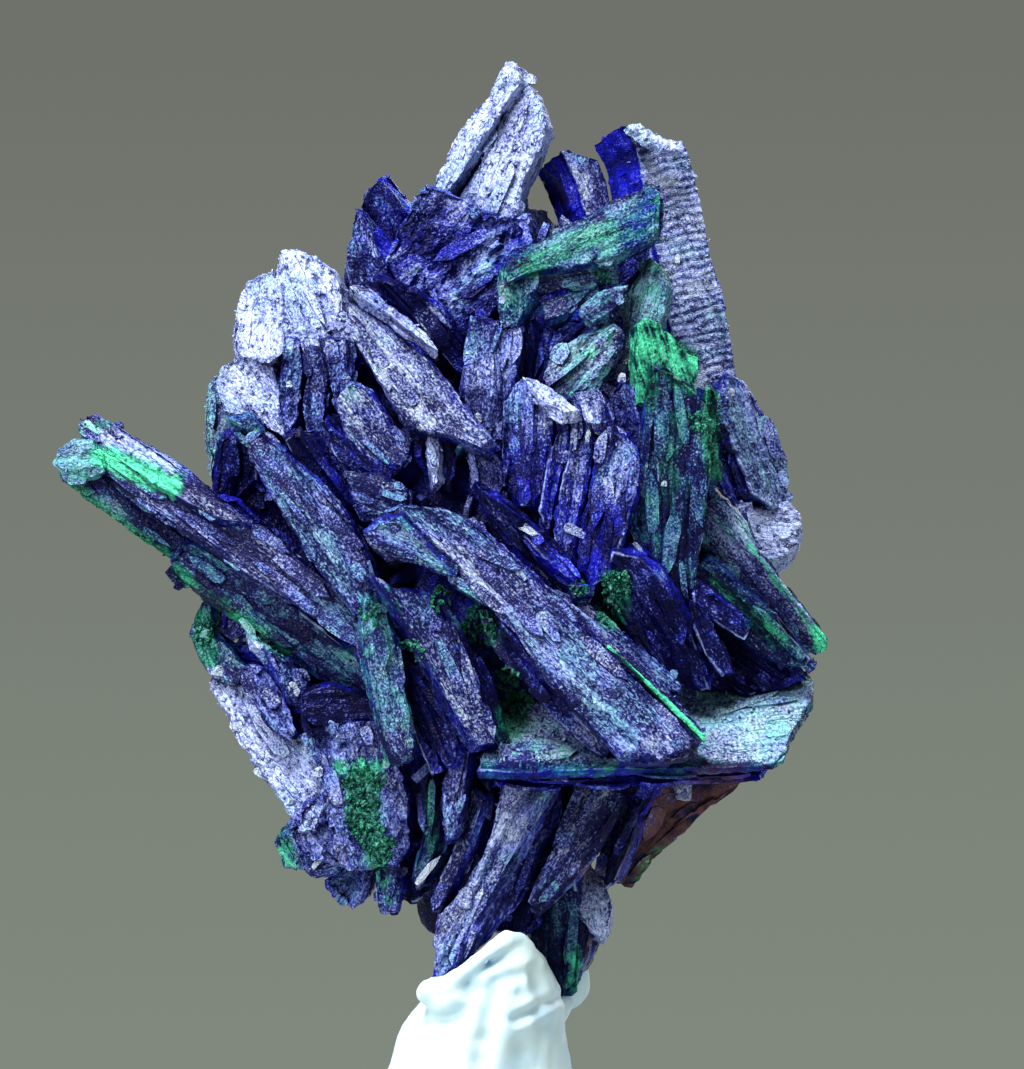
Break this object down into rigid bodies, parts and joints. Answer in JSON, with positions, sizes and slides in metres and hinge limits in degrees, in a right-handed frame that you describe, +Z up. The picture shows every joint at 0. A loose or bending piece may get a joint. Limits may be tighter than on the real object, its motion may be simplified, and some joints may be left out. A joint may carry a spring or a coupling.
{
  "type": "azurite crystal cluster",
  "caption": "Upright cluster of intergrown blade-like azurite crystals with green malachite patches, held on its narrow root by a cone of white display putty with a flat foot.",
  "frame": {"origin": "middle of the putty's flat foot, on the surface that it stands on", "axes": "+Z up, from the putty's foot to the crown of the cluster, +X to the right in the front view, the front faces -Y"},
  "size_m": [0.0387, 0.0264, 0.0586],
  "materials": {
    "azurite": "glittery satin crystal faces, deep blue with pale sparkling crust and green malachite patches",
    "putty": "smooth matte white putty with soft thumb marks"
  },
  "bodies": {
    "root": {"azurite_cluster": "azurite", "display_putty": "putty"}
  },
  "joints": []
}
